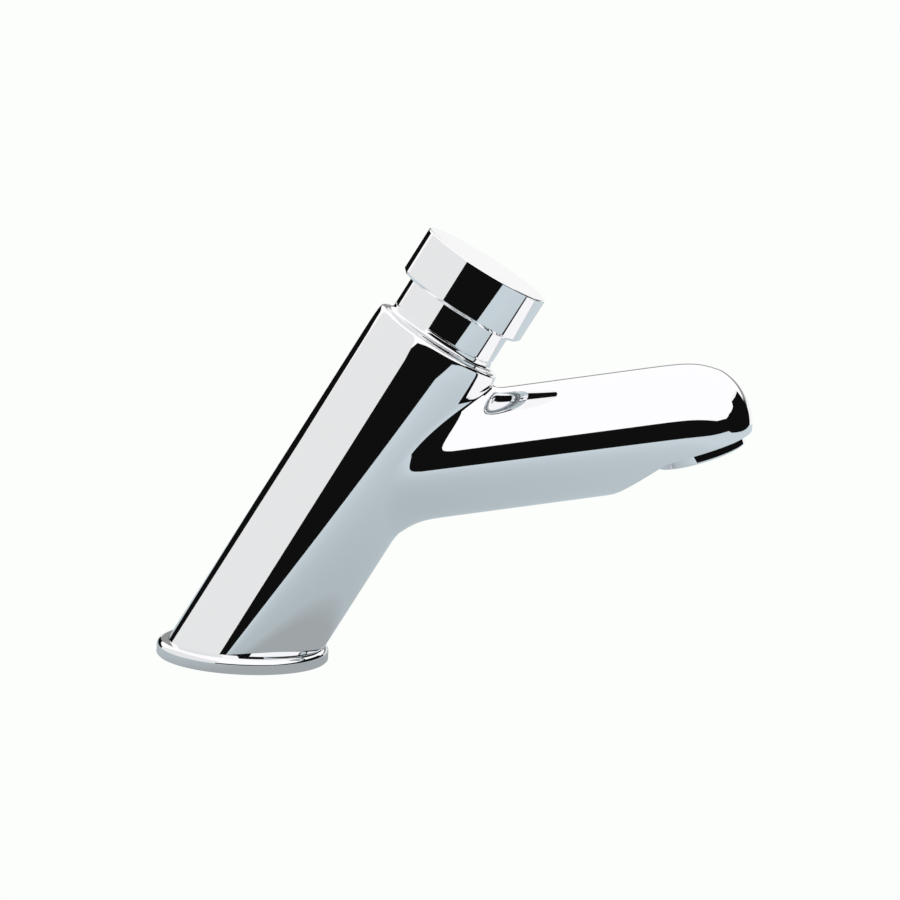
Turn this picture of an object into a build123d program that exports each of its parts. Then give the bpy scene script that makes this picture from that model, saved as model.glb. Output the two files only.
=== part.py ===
from build123d import *
import os
from math import cos, degrees, radians, sin, tan

# Self-closing basin tap with a leaning body, a fixed spout and a push button, in millimetres.
# The origin is the centre of the tap hole on the basin's top face. +X is forward along the spout, +Z is up.
# Sizes called height on the leaning pieces are measured along the body's axis.

# Body
body_radius = 20.3
body_lean = radians(60.9)
body_start_offset = 0.3
body_start_height = 3.0
body_length = 109.1
rim_edge_radius = 1.2
rim_crown_height = 8.0
rim_crown_inset = 0.3
thread_gap = 0.08
slip_gap = 0.05
running_gap = 0.05

# Spout
spout_radius = 17.9
spout_rise = radians(11)
spout_below_rim = 45.3
spout_reach = 99.1
crotch_radius = 16.0
crease_radius = 1.4
blend_sink = 0.02
blend_sections = 7
scoop_slope = radians(39)
scoop_start = 68.5
scoop_edge_radius = 16.0
outlet_tilt = radians(20)
outlet_depth = 7.1

# Waterways in the casting
cavity_depth = 68.0
cavity_mouth_chamfer = 0.4
inlet_passage_radius = 9.0
inlet_passage_start = 15.0
port_radius = 8.5
port_start = 8.0
port_end = 30.0
core_radius = 11.0
core_end = 72.0
core_taper = 6.0
throat_way_radius = 4.8
throat_way_lift = 5.6
throat_radius = 9.0
throat_height = 7.0

# Foot, flange, tail and the fixing below the basin
flange_radius = 25.5
flange_thickness = 4.5
flange_edge_radius = 1.8
flange_lower_chamfer = 0.5
spigot_radius = 15.0
spigot_depth = 1.5
base_seal_inner = 16.5
base_seal_outer = 23.0
base_seal_thickness = 1.8
shank_radius = 10.48
shank_bore = 7.0
shank_top = 15.0
shank_bottom = -56.0
shank_chamfer = 1.0
shank_hole_gap = 0.6
shank_seal_height = 6.5
tap_bore_above_shank = 1.5
supply_length = 20.0
relief_width = 2.0
relief_depth = 1.3
basin_thickness = 18.0
deck_washer_radius = 21.0
deck_washer_thickness = 3.0
clamp_washer_radius = 20.0
clamp_washer_thickness = 1.5
lock_nut_flats = 30.0
lock_nut_height = 8.0
lock_nut_chamfer = 0.8

# Round-section rubber seals
seal_section = 1.9
seal_groove_width = 2.3

# Collar: its upper half is the visible neck, its lower half screws into the body
neck_radius = 16.7
neck_height = 14.6
neck_foot_radius = 18.0
neck_foot_height = 0.5
neck_foot_fillet = 1.2
neck_groove_height = 2.3
neck_groove_width = 0.5
neck_groove_depth = 0.4
neck_top_chamfer = 0.6
collar_spigot_length = 10.1
collar_seal_below_rim = 2.8
collar_web = 8.0
spring_pocket_radius = 12.0
guide_radius = 5.0
guide_flange_radius = 6.5
guide_flange_thickness = 1.5
guide_length = 4.7
stem_seal_lip = 1.2
stem_seal_lip_gap = 0.6

# Cartridge
land_radius = 15.12
waist_radius = 13.6
sleeve_bore = 11.0
sleeve_port_bore = 10.0
sleeve_lower_land = 10.0
sleeve_upper_land = 8.0
piston_bore_length = 18.0
seat_shoulder_height = 19.9
sleeve_port_radius = 3.4
sleeve_port_count = 6
sleeve_port_height = 25.0
gasket_thickness = 1.0
strainer_thickness = 1.0
strainer_height = 0.9
strainer_hole_radius = 0.8
strainer_rings = 4
strainer_pitch = 2.4
seat_height = 3.5
seat_lip_height = 0.5
seat_lip_width = 1.0
seat_hole_radius = 5.5

# Button and what moves with it
cap_radius = 20.0
cap_height = 14.6
cap_above_rim = 11.6
cap_wall = 2.2
cap_roof = 2.6
cap_edge_radius = 0.5
cap_lower_chamfer = 0.9
cap_boss_radius = 5.0
cap_boss_depth = 3.8
cap_thread_depth = 4.8
liner_roof = 2.0
liner_inset = 0.8
neck_running_gap = 0.1
stem_radius = 3.0
stem_tip_radius = 2.5
stem_tip_length = 4.5
stem_shoulder_radius = 4.5
stem_shoulder_height = 2.5
piston_radius = 10.7
piston_height = 6.5
piston_below_gasket = 3.5
bleed_radius = 0.5
bleed_offset = 6.8
lip_seal_gap = 0.07
lip_seal_depth = 2.5
lip_seal_height = 3.0
lip_seal_lift = 2.0
lip_seal_web = 1.0
lip_seal_wall = 0.8
ring_thickness = 0.8
ring_radius = 5.0
ring_groove_depth = 0.4
ring_slot = 3.6
valve_washer_radius = 7.5
valve_washer_thickness = 3.0
valve_head_radius = 8.2
valve_head_floor = 2.7
valve_head_rim = 1.2
valve_seat_gap = 0.1

# Return spring
spring_seat_thickness = 0.8
spring_seat_radius = 11.5
spring_radius = 9.0
spring_wire = 1.4
spring_turns = 5.5

# Outlet
outlet_thread_radius = 12.0
outlet_thread_length = 6.5
outlet_ring_radius = 13.6
outlet_ring_height = 3.0
outlet_ring_gap = 0.2
outlet_ring_edge = 0.4
outlet_bore = 10.2
outlet_lip_radius = 9.2
outlet_lip_height = 1.0
outlet_seal_thickness = 1.3
outlet_seal_inner = 9.4
insert_height = 4.4
insert_hole_radius = 1.05
insert_pitch = 2.75
insert_rings = 3
screen_thickness = 0.5
screen_hole_radius = 0.5
screen_pitch = 1.45
screen_rings = 6
regulator_height = 2.8
regulator_hole_radius = 0.9
regulator_hole_count = 8
regulator_hole_pitch = 7.2

# Directions, axes and planes that the pieces share
lean_across = Vector(sin(body_lean), 0, -cos(body_lean))
lean_along = Vector(cos(body_lean), 0, sin(body_lean))
body_start = Vector(body_start_offset, 0, body_start_height)
body_axis = Axis(body_start, lean_along)
body_plane = Plane(origin=body_start, x_dir=lean_across, z_dir=lean_along)
body_section = Plane(origin=body_start, x_dir=lean_across, z_dir=(0, -1, 0))

spout_along = Vector(cos(spout_rise), 0, sin(spout_rise))
spout_up = Vector(-sin(spout_rise), 0, cos(spout_rise))
spout_start = body_start + lean_along * (body_length - spout_below_rim)
spout_axis = Axis(spout_start, spout_along)
spout_section = Plane(origin=spout_start, x_dir=spout_along, z_dir=(0, -1, 0))

outlet_down = Vector(sin(outlet_tilt), 0, -cos(outlet_tilt))
outlet_across = Vector(cos(outlet_tilt), 0, sin(outlet_tilt))
outlet_centre = spout_start + spout_along * spout_reach + outlet_down * outlet_depth
outlet_axis = Axis(outlet_centre, outlet_down)
outlet_plane = Plane(origin=outlet_centre, x_dir=outlet_across, z_dir=outlet_down)
outlet_section = Plane(origin=outlet_centre, x_dir=outlet_across, z_dir=(0, 1, 0))

upright_axis = Axis.Z
upright_section = Plane.XZ

# Heights along the body's axis, worked out from the rim
rim = body_length
cavity_floor = rim - cavity_depth
cavity_radius = land_radius + thread_gap
collar_bottom = rim - collar_spigot_length
collar_web_top = collar_bottom + collar_web
neck_top = rim + neck_height
guide_bottom = collar_web_top - guide_length
gasket_bottom = collar_bottom - gasket_thickness
seat_top = cavity_floor + seat_shoulder_height
seat_bottom = seat_top - seat_height
piston_top = gasket_bottom - piston_below_gasket
piston_bottom = piston_top - piston_height
valve_washer_top = seat_bottom - valve_seat_gap
valve_washer_bottom = valve_washer_top - valve_washer_thickness
valve_head_bottom = valve_washer_bottom - valve_head_floor
cap_bottom = rim + cap_above_rim
cap_top = cap_bottom + cap_height
cap_ceiling = cap_top - cap_roof
cap_boss_bottom = cap_ceiling - cap_boss_depth
liner_ceiling = cap_ceiling - liner_roof
spring_bottom = collar_web_top + spring_seat_thickness
seal_radius = seal_section / 2
groove_half = seal_groove_width / 2


def turned(points, section, axis):
    """A piece turned about an axis from the radii and heights of its half profile."""
    with BuildPart() as piece:
        with BuildSketch(section):
            with BuildLine():
                Polyline(*points, close=True)
            make_face()
        revolve(axis=axis)
    return piece


def ring(inner, outer, low, high, section=body_section, axis=body_axis):
    """A flat ring or a tube."""
    return turned([(inner, low), (outer, low), (outer, high), (inner, high)], section, axis)


def round_seal(bore, height, section=body_section, axis=body_axis):
    """A rubber ring of round section that seals inside a bore."""
    with BuildPart() as seal:
        with BuildSketch(section):
            with Locations((bore - slip_gap - seal_radius, height)):
                Circle(seal_radius)
        revolve(axis=axis)
    return seal


def groove(bore, outer, height):
    """Profile points of a seal groove in the outside of a shaft, from below upwards."""
    floor = bore - 2 * slip_gap - seal_section
    low, high = height - groove_half, height + groove_half
    return [(outer, low), (floor, low), (floor, high), (outer, high)]


def ring_holes(rings, pitch, hole_radius):
    """Circles in rings about the middle of a sketch, six more in each ring."""
    Circle(hole_radius)
    for number in range(1, rings + 1):
        with PolarLocations(number * pitch, 6 * number):
            Circle(hole_radius)


# Body and spout, one chromed brass casting
turn = body_lean - spout_rise
pivot_to_spout = crotch_radius + spout_radius
pivot_to_body = crotch_radius + body_radius
pivot_reach = (pivot_to_body - pivot_to_spout * cos(turn)) / sin(turn)
crotch_pivot = spout_start + spout_along * pivot_reach - spout_up * pivot_to_spout

scoop_turn = scoop_slope - spout_rise
land_turn = outlet_tilt - spout_rise
scoop_arc_end = (
    scoop_start + scoop_edge_radius * sin(scoop_turn),
    scoop_edge_radius * (1 - cos(scoop_turn)) - spout_radius,
)
land_point = (spout_reach + outlet_depth * sin(land_turn), -outlet_depth * cos(land_turn))
land_rise = land_point[1] - scoop_arc_end[1] - tan(land_turn) * (land_point[0] - scoop_arc_end[0])
scoop_run = land_rise / (tan(scoop_turn) - tan(land_turn))
scoop_end = (scoop_arc_end[0] + scoop_run, scoop_arc_end[1] + scoop_run * tan(scoop_turn))
past_tip = spout_reach + 2 * spout_radius
land_end = (past_tip, land_point[1] + tan(land_turn) * (past_tip - land_point[0]))
below_spout = -2 * spout_radius
crown_start = rim - rim_crown_height

with BuildPart() as tap_body:
    with BuildSketch(body_section):
        with BuildLine():
            side = Polyline((0, -body_radius), (body_radius, -body_radius), (body_radius, crown_start))
            crown = TangentArc(side @ 1, (body_radius - rim_crown_inset, rim), tangent=(0, 1))
            Polyline(crown @ 1, (0, rim), (0, -body_radius))
        make_face()
    revolve(axis=body_axis)
    fillet(tap_body.edges().sort_by(body_axis)[-1], radius=rim_edge_radius)

    with BuildSketch(spout_section):
        with BuildLine():
            Polyline((spout_reach + spout_radius, 0), (0, 0), (0, spout_radius), (spout_reach, spout_radius))
            CenterArc((spout_reach, 0), spout_radius, 0, 90)
        make_face()
    revolve(axis=spout_axis)
    fillet(tap_body.edges(Select.NEW), radius=crease_radius)

    # The crotch below the spout is filled by an elbow that turns about a line in front of the crotch
    for number in range(blend_sections):
        share = number / (blend_sections - 1)
        eased = share**2 * (3 - 2 * share)
        elbow_radius = spout_radius + (body_radius - spout_radius) * eased - blend_sink
        angle = spout_rise + turn * share
        away = Vector(-sin(angle), 0, cos(angle))
        centre = crotch_pivot + away * (crotch_radius + blend_sink + elbow_radius)
        with BuildSketch(Plane(origin=centre, x_dir=(0, 1, 0), z_dir=(cos(angle), 0, sin(angle)))):
            Circle(elbow_radius)
    loft()

    # The underside rises towards the outlet and ends in a flat land
    with BuildSketch(spout_section):
        with BuildLine():
            CenterArc(
                (scoop_start, scoop_edge_radius - spout_radius), scoop_edge_radius, 270, degrees(scoop_turn)
            )
            Polyline(
                scoop_arc_end,
                scoop_end,
                land_end,
                (past_tip, below_spout),
                (scoop_start, below_spout),
                (scoop_start, -spout_radius),
            )
        make_face()
    extrude(amount=body_radius, both=True, mode=Mode.SUBTRACT)

    # The foot is cut level and has a spigot that centres the flange
    split(bisect_by=Plane.XY.offset(flange_thickness), keep=Keep.TOP)
    with BuildSketch(Plane.XY.offset(flange_thickness)):
        Circle(spigot_radius)
    extrude(amount=-spigot_depth)

    # Cartridge cavity with the inlet passage below it
    with BuildSketch(body_section):
        with BuildLine():
            Polyline(
                (0, inlet_passage_start),
                (inlet_passage_radius, inlet_passage_start),
                (inlet_passage_radius, cavity_floor),
                (cavity_radius, cavity_floor),
                (cavity_radius, rim - cavity_mouth_chamfer),
                (cavity_radius + 2 * cavity_mouth_chamfer, rim + cavity_mouth_chamfer),
                (0, rim + cavity_mouth_chamfer),
                close=True,
            )
        make_face()
    revolve(axis=body_axis, mode=Mode.SUBTRACT)

    # Threaded hole for the tail
    with BuildSketch(Plane.XY.offset(flange_thickness - spigot_depth)):
        Circle(shank_radius + thread_gap)
    extrude(
        amount=shank_top + tap_bore_above_shank - flange_thickness + spigot_depth, mode=Mode.SUBTRACT
    )

    # Spout waterway: a port into the cavity, a wide core, and a narrow way over the outlet
    with BuildSketch(spout_section):
        with BuildLine():
            Polyline(
                (port_start, 0),
                (port_start, port_radius),
                (port_end, port_radius),
                (port_end + core_taper, core_radius),
                (core_end, core_radius),
                (core_end + core_taper, throat_way_radius),
                (core_end + core_taper, 0),
                close=True,
            )
        make_face()
    revolve(axis=spout_axis, mode=Mode.SUBTRACT)
    throat_way_start = spout_start + spout_along * (core_end - core_taper) + spout_up * throat_way_lift
    with BuildSketch(Plane(origin=throat_way_start, x_dir=(0, 1, 0), z_dir=spout_along)):
        Circle(throat_way_radius)
    extrude(amount=spout_reach - core_end + core_taper, mode=Mode.SUBTRACT)

    # Outlet: a spot-faced seat for the ring, the thread, and the throat above it
    with BuildSketch(outlet_plane):
        Circle(outlet_ring_radius + outlet_ring_gap)
    extrude(amount=spout_radius, mode=Mode.SUBTRACT)
    outlet_thread_depth = outlet_thread_length + outlet_seal_thickness
    with BuildSketch(outlet_section):
        with BuildLine():
            Polyline(
                (0, 0),
                (outlet_thread_radius, 0),
                (outlet_thread_radius, -outlet_thread_depth),
                (throat_radius, -outlet_thread_depth),
                (throat_radius, -outlet_thread_depth - throat_height),
                (0, -outlet_thread_depth - throat_height),
                close=True,
            )
        make_face()
    revolve(axis=outlet_axis, mode=Mode.SUBTRACT)

# Round flange between the body and the basin
with BuildPart() as base_flange:
    with BuildSketch():
        Circle(flange_radius)
    extrude(amount=flange_thickness)
    fillet(base_flange.edges().sort_by(Axis.Z)[-1], radius=flange_edge_radius)
    chamfer(base_flange.edges().sort_by(Axis.Z)[0], length=flange_lower_chamfer)
    with BuildSketch(Plane.XY.offset(flange_thickness)):
        Circle(spigot_radius + slip_gap)
    extrude(amount=-spigot_depth, mode=Mode.SUBTRACT)
    with BuildSketch():
        Circle(base_seal_outer + slip_gap)
        Circle(base_seal_inner - slip_gap, mode=Mode.SUBTRACT)
    extrude(amount=base_seal_thickness, mode=Mode.SUBTRACT)
    with BuildSketch():
        Circle(shank_radius + shank_hole_gap)
    extrude(amount=flange_thickness, mode=Mode.SUBTRACT)

base_seal = ring(base_seal_inner, base_seal_outer, 0, base_seal_thickness, upright_section, upright_axis)

# Tail with a parallel pipe thread, its seal in the body, and a relief above the supply end
relief_top = shank_bottom + supply_length + relief_width
inlet_shank = turned(
    [
        (shank_bore, shank_bottom),
        (shank_radius - shank_chamfer, shank_bottom),
        (shank_radius, shank_bottom + shank_chamfer),
        (shank_radius, relief_top - relief_width),
        (shank_radius - relief_depth, relief_top - relief_width),
        (shank_radius - relief_depth, relief_top),
        (shank_radius, relief_top),
        *groove(shank_radius + thread_gap, shank_radius, shank_seal_height),
        (shank_radius, shank_top),
        (shank_bore, shank_top),
    ],
    upright_section,
    upright_axis,
)
shank_o_ring = round_seal(shank_radius + thread_gap, shank_seal_height, upright_section, upright_axis)

# Fixing below the basin: rubber washer, steel washer and back nut
washer_hole = shank_radius + shank_hole_gap / 2
deck_washer_bottom = -basin_thickness - deck_washer_thickness
clamp_washer_bottom = deck_washer_bottom - clamp_washer_thickness
deck_washer = ring(
    washer_hole, deck_washer_radius, deck_washer_bottom, -basin_thickness, upright_section, upright_axis
)
clamp_washer = ring(
    washer_hole, clamp_washer_radius, clamp_washer_bottom, deck_washer_bottom, upright_section, upright_axis
)
with BuildPart() as lock_nut:
    with BuildSketch(Plane.XY.offset(clamp_washer_bottom)):
        RegularPolygon(lock_nut_flats / 2, 6, major_radius=False)
    extrude(amount=-lock_nut_height)
    chamfer(lock_nut.faces().filter_by(Axis.Z).edges(), length=lock_nut_chamfer)
    with BuildSketch(Plane.XY.offset(clamp_washer_bottom)):
        Circle(shank_radius + thread_gap)
    extrude(amount=-lock_nut_height, mode=Mode.SUBTRACT)

# Collar: the neck that shows below the cap, and the threaded spigot that holds the cartridge down
with BuildPart() as head_collar:
    with BuildSketch(body_section):
        with BuildLine():
            fillet_centre = (neck_radius + neck_foot_fillet, rim + neck_foot_height + neck_foot_fillet)
            CenterArc(fillet_centre, neck_foot_fillet, 180, 90)
            Polyline(
                (neck_radius, fillet_centre[1]),
                (neck_radius, rim + neck_groove_height),
                (neck_radius - neck_groove_depth, rim + neck_groove_height),
                (neck_radius - neck_groove_depth, rim + neck_groove_height + neck_groove_width),
                (neck_radius, rim + neck_groove_height + neck_groove_width),
                (neck_radius, neck_top - neck_top_chamfer),
                (neck_radius - neck_top_chamfer, neck_top),
                (spring_pocket_radius, neck_top),
                (spring_pocket_radius, collar_web_top),
                (guide_flange_radius + slip_gap, collar_web_top),
                (guide_flange_radius + slip_gap, collar_web_top - guide_flange_thickness),
                (guide_radius + slip_gap, collar_web_top - guide_flange_thickness),
                (guide_radius + slip_gap, collar_bottom + stem_seal_lip),
                (stem_radius + stem_seal_lip_gap, collar_bottom + stem_seal_lip),
                (stem_radius + stem_seal_lip_gap, collar_bottom),
                (land_radius, collar_bottom),
                *groove(cavity_radius, land_radius, rim - collar_seal_below_rim),
                (land_radius, rim),
                (neck_foot_radius, rim),
                (neck_foot_radius, rim + neck_foot_height),
                (fillet_centre[0], rim + neck_foot_height),
            )
        make_face()
    revolve(axis=body_axis)

collar_o_ring = round_seal(cavity_radius, rim - collar_seal_below_rim)

# Guide bush for the stem, its seal, and the washer that the spring stands on
stem_guide = turned(
    [
        (stem_radius + running_gap, guide_bottom),
        (guide_radius, guide_bottom),
        (guide_radius, collar_web_top - guide_flange_thickness),
        (guide_flange_radius, collar_web_top - guide_flange_thickness),
        (guide_flange_radius, collar_web_top),
        (stem_radius + running_gap, collar_web_top),
    ],
    body_section,
    body_axis,
)
stem_seal = round_seal(guide_radius + slip_gap, collar_bottom + stem_seal_lip + slip_gap + seal_radius)
spring_seat = ring(stem_radius + stem_seal_lip_gap, spring_seat_radius, collar_web_top, spring_bottom)

# Cartridge sleeve with its side ports
lower_land_top = cavity_floor + sleeve_lower_land
upper_land_bottom = gasket_bottom - sleeve_upper_land
sleeve_seal_heights = [cavity_floor + sleeve_lower_land / 2, gasket_bottom - sleeve_upper_land / 2]
piston_bore_bottom = gasket_bottom - piston_bore_length
with BuildPart() as cartridge_sleeve:
    with BuildSketch(body_section):
        with BuildLine():
            Polyline(
                (sleeve_bore, cavity_floor),
                (land_radius, cavity_floor),
                *groove(cavity_radius, land_radius, sleeve_seal_heights[0]),
                (land_radius, lower_land_top),
                (waist_radius, lower_land_top),
                (waist_radius, upper_land_bottom),
                (land_radius, upper_land_bottom),
                *groove(cavity_radius, land_radius, sleeve_seal_heights[1]),
                (land_radius, gasket_bottom),
                (sleeve_bore, gasket_bottom),
                (sleeve_bore, piston_bore_bottom),
                (sleeve_port_bore, piston_bore_bottom),
                (sleeve_port_bore, seat_top),
                (sleeve_bore, seat_top),
                close=True,
            )
        make_face()
    revolve(axis=body_axis)
    port_centre = body_start + lean_along * (cavity_floor + sleeve_port_height)
    for number in range(sleeve_port_count):
        facing = lean_across.rotate(Axis((0, 0, 0), lean_along), number * 360 / sleeve_port_count)
        with BuildSketch(Plane(origin=port_centre, x_dir=lean_along, z_dir=facing)):
            Circle(sleeve_port_radius)
        extrude(amount=waist_radius + slip_gap, mode=Mode.SUBTRACT)

sleeve_o_ring_lower = round_seal(cavity_radius, sleeve_seal_heights[0])
sleeve_o_ring_upper = round_seal(cavity_radius, sleeve_seal_heights[1])
chamber_gasket = ring(sleeve_bore, land_radius - slip_gap, gasket_bottom, collar_bottom)

with BuildPart() as cartridge_strainer:
    with BuildSketch(body_plane.offset(cavity_floor + strainer_height)):
        Circle(sleeve_bore - slip_gap)
    extrude(amount=strainer_thickness)
    with BuildSketch(body_plane.offset(cavity_floor + strainer_height)):
        ring_holes(strainer_rings, strainer_pitch, strainer_hole_radius)
    extrude(amount=strainer_thickness, mode=Mode.SUBTRACT)

valve_seat = turned(
    [
        (seat_hole_radius, seat_bottom),
        (seat_hole_radius + seat_lip_width, seat_bottom),
        (seat_hole_radius + seat_lip_width, seat_bottom + seat_lip_height),
        (sleeve_bore - slip_gap, seat_bottom + seat_lip_height),
        (sleeve_bore - slip_gap, seat_top),
        (seat_hole_radius, seat_top),
    ],
    body_section,
    body_axis,
)

# Valve below the seat: it opens when the stem goes down
valve_washer = ring(
    stem_tip_radius + slip_gap, valve_washer_radius, valve_washer_bottom, valve_washer_top
)
valve_head = turned(
    [
        (stem_tip_radius + slip_gap, valve_head_bottom),
        (valve_head_radius, valve_head_bottom),
        (valve_head_radius, valve_washer_bottom + valve_head_rim),
        (valve_washer_radius + slip_gap, valve_washer_bottom + valve_head_rim),
        (valve_washer_radius + slip_gap, valve_washer_bottom),
        (stem_tip_radius + slip_gap, valve_washer_bottom),
    ],
    body_section,
    body_axis,
)

# Stem from the valve to the cap
ring_floor = stem_radius - ring_groove_depth
stem = turned(
    [
        (0, valve_head_bottom),
        (stem_tip_radius, valve_head_bottom),
        (stem_tip_radius, valve_washer_top),
        (stem_radius, valve_washer_top),
        (stem_radius, piston_bottom - stem_shoulder_height),
        (stem_shoulder_radius, piston_bottom - stem_shoulder_height),
        (stem_shoulder_radius, piston_bottom),
        (stem_radius, piston_bottom),
        (stem_radius, piston_top),
        (ring_floor, piston_top),
        (ring_floor, piston_top + ring_thickness),
        (stem_radius, piston_top + ring_thickness),
        (stem_radius, cap_boss_bottom),
        (stem_tip_radius, cap_boss_bottom),
        (stem_tip_radius, cap_boss_bottom + stem_tip_length),
        (0, cap_boss_bottom + stem_tip_length),
    ],
    body_section,
    body_axis,
)

# Timing piston with a bleed hole, its one-way lip seal and its retaining ring
lip_seal_floor = piston_radius - lip_seal_depth
lip_seal_bottom = piston_bottom + lip_seal_lift
lip_seal_top = lip_seal_bottom + lip_seal_height
with BuildPart() as piston:
    with BuildSketch(body_section):
        with BuildLine():
            Polyline(
                (stem_radius + slip_gap, piston_bottom),
                (piston_radius, piston_bottom),
                (piston_radius, lip_seal_bottom),
                (lip_seal_floor, lip_seal_bottom),
                (lip_seal_floor, lip_seal_top),
                (piston_radius, lip_seal_top),
                (piston_radius, piston_top),
                (stem_radius + slip_gap, piston_top),
                close=True,
            )
        make_face()
    revolve(axis=body_axis)
    with BuildSketch(body_plane.offset(piston_bottom)):
        with Locations((0, bleed_offset)):
            Circle(bleed_radius)
    extrude(amount=piston_height, mode=Mode.SUBTRACT)

lip_seal = turned(
    [
        (lip_seal_floor + slip_gap, lip_seal_bottom),
        (piston_radius, lip_seal_bottom),
        (sleeve_bore - lip_seal_gap, lip_seal_top - slip_gap),
        (sleeve_bore - lip_seal_gap - lip_seal_wall, lip_seal_top - slip_gap),
        (lip_seal_floor + slip_gap + lip_seal_wall, lip_seal_bottom + lip_seal_web),
        (lip_seal_floor + slip_gap + lip_seal_wall, lip_seal_top - slip_gap),
        (lip_seal_floor + slip_gap, lip_seal_top - slip_gap),
    ],
    body_section,
    body_axis,
)

with BuildPart() as piston_ring:
    with BuildSketch(body_plane.offset(piston_top)):
        Circle(ring_radius)
        Circle(ring_floor + slip_gap, mode=Mode.SUBTRACT)
        Rectangle(ring_radius, ring_slot, align=(Align.MIN, Align.CENTER), mode=Mode.SUBTRACT)
    extrude(amount=ring_thickness)

# Cap with its boss on the stem, and the plastic liner that slides on the neck
with BuildPart() as push_cap:
    with BuildSketch(body_section):
        with BuildLine():
            Polyline(
                (cap_radius - cap_wall, cap_bottom),
                (cap_radius - cap_lower_chamfer, cap_bottom),
                (cap_radius, cap_bottom + cap_lower_chamfer),
                (cap_radius, cap_top),
                (0, cap_top),
                (0, cap_boss_bottom + cap_thread_depth),
                (stem_tip_radius + slip_gap, cap_boss_bottom + cap_thread_depth),
                (stem_tip_radius + slip_gap, cap_boss_bottom),
                (cap_boss_radius, cap_boss_bottom),
                (cap_boss_radius, cap_ceiling),
                (cap_radius - cap_wall, cap_ceiling),
                close=True,
            )
        make_face()
    revolve(axis=body_axis)
    fillet(push_cap.edges().sort_by(body_axis)[-1], radius=cap_edge_radius)

cap_liner = turned(
    [
        (neck_radius + neck_running_gap, cap_bottom + liner_inset),
        (cap_radius - cap_wall - slip_gap, cap_bottom + liner_inset),
        (cap_radius - cap_wall - slip_gap, cap_ceiling),
        (cap_boss_radius + slip_gap, cap_ceiling),
        (cap_boss_radius + slip_gap, liner_ceiling),
        (neck_radius + neck_running_gap, liner_ceiling),
    ],
    body_section,
    body_axis,
)

# Return spring between its seat and the liner
spring_height = liner_ceiling - spring_bottom - spring_wire
spring_start = body_start + lean_along * (spring_bottom + spring_wire / 2)
with BuildPart() as return_spring:
    with BuildLine():
        coil = Helix(spring_height / spring_turns, spring_height, spring_radius, spring_start, lean_along)
    with BuildSketch(coil ^ 0):
        Circle(spring_wire / 2)
    sweep(path=coil, is_frenet=True)

# Outlet: threaded housing with its ring, honeycomb insert, screen, regulator and seal
aerator_housing = turned(
    [
        (outlet_bore, -outlet_thread_length),
        (outlet_thread_radius - thread_gap, -outlet_thread_length),
        (outlet_thread_radius - thread_gap, 0),
        (outlet_ring_radius, 0),
        (outlet_ring_radius, outlet_ring_height - outlet_ring_edge),
        (outlet_ring_radius - outlet_ring_edge, outlet_ring_height),
        (outlet_lip_radius, outlet_ring_height),
        (outlet_lip_radius, outlet_ring_height - outlet_lip_height),
        (outlet_bore, outlet_ring_height - outlet_lip_height),
    ],
    outlet_section,
    outlet_axis,
)
insert_top = outlet_ring_height - outlet_lip_height - insert_height
with BuildPart() as aerator_insert:
    with BuildSketch(outlet_plane.offset(insert_top)):
        Circle(outlet_bore - slip_gap)
    extrude(amount=insert_height)
    with BuildSketch(outlet_plane.offset(insert_top)):
        ring_holes(insert_rings, insert_pitch, insert_hole_radius)
    extrude(amount=insert_height, mode=Mode.SUBTRACT)

screen_top = insert_top - screen_thickness
with BuildPart() as aerator_screen:
    with BuildSketch(outlet_plane.offset(screen_top)):
        Circle(outlet_bore - slip_gap)
    extrude(amount=screen_thickness)
    with BuildSketch(outlet_plane.offset(screen_top)):
        ring_holes(screen_rings, screen_pitch, screen_hole_radius)
    extrude(amount=screen_thickness, mode=Mode.SUBTRACT)

regulator_top = screen_top - regulator_height
with BuildPart() as flow_regulator:
    with BuildSketch(outlet_plane.offset(regulator_top)):
        Circle(outlet_bore - slip_gap)
    extrude(amount=regulator_height)
    with BuildSketch(outlet_plane.offset(regulator_top)):
        with PolarLocations(regulator_hole_pitch, regulator_hole_count):
            Circle(regulator_hole_radius)
    extrude(amount=regulator_height, mode=Mode.SUBTRACT)

aerator_seal = ring(
    outlet_seal_inner,
    outlet_thread_radius - slip_gap,
    -outlet_thread_depth,
    -outlet_thread_length,
    outlet_section,
    outlet_axis,
)

pieces = {
    "tap_body": tap_body,
    "base_flange": base_flange,
    "base_seal": base_seal,
    "inlet_shank": inlet_shank,
    "shank_o_ring": shank_o_ring,
    "deck_washer": deck_washer,
    "clamp_washer": clamp_washer,
    "lock_nut": lock_nut,
    "head_collar": head_collar,
    "collar_o_ring": collar_o_ring,
    "stem_guide": stem_guide,
    "stem_seal": stem_seal,
    "spring_seat": spring_seat,
    "cartridge_sleeve": cartridge_sleeve,
    "sleeve_o_ring_lower": sleeve_o_ring_lower,
    "sleeve_o_ring_upper": sleeve_o_ring_upper,
    "chamber_gasket": chamber_gasket,
    "cartridge_strainer": cartridge_strainer,
    "valve_seat": valve_seat,
    "valve_washer": valve_washer,
    "valve_head": valve_head,
    "stem": stem,
    "piston": piston,
    "lip_seal": lip_seal,
    "piston_ring": piston_ring,
    "push_cap": push_cap,
    "cap_liner": cap_liner,
    "return_spring": return_spring,
    "aerator_housing": aerator_housing,
    "aerator_insert": aerator_insert,
    "aerator_screen": aerator_screen,
    "flow_regulator": flow_regulator,
    "aerator_seal": aerator_seal,
}
os.makedirs("parts", exist_ok=True)
for name, piece in pieces.items():
    piece.part.label = name
    export_step(piece.part, f"parts/{name}.step")
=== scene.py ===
import bmesh
import bpy
from math import acos, atan2, cos, pi, radians, sin, sqrt, tan
from mathutils import Matrix, Vector
from mathutils.kdtree import KDTree


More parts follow.
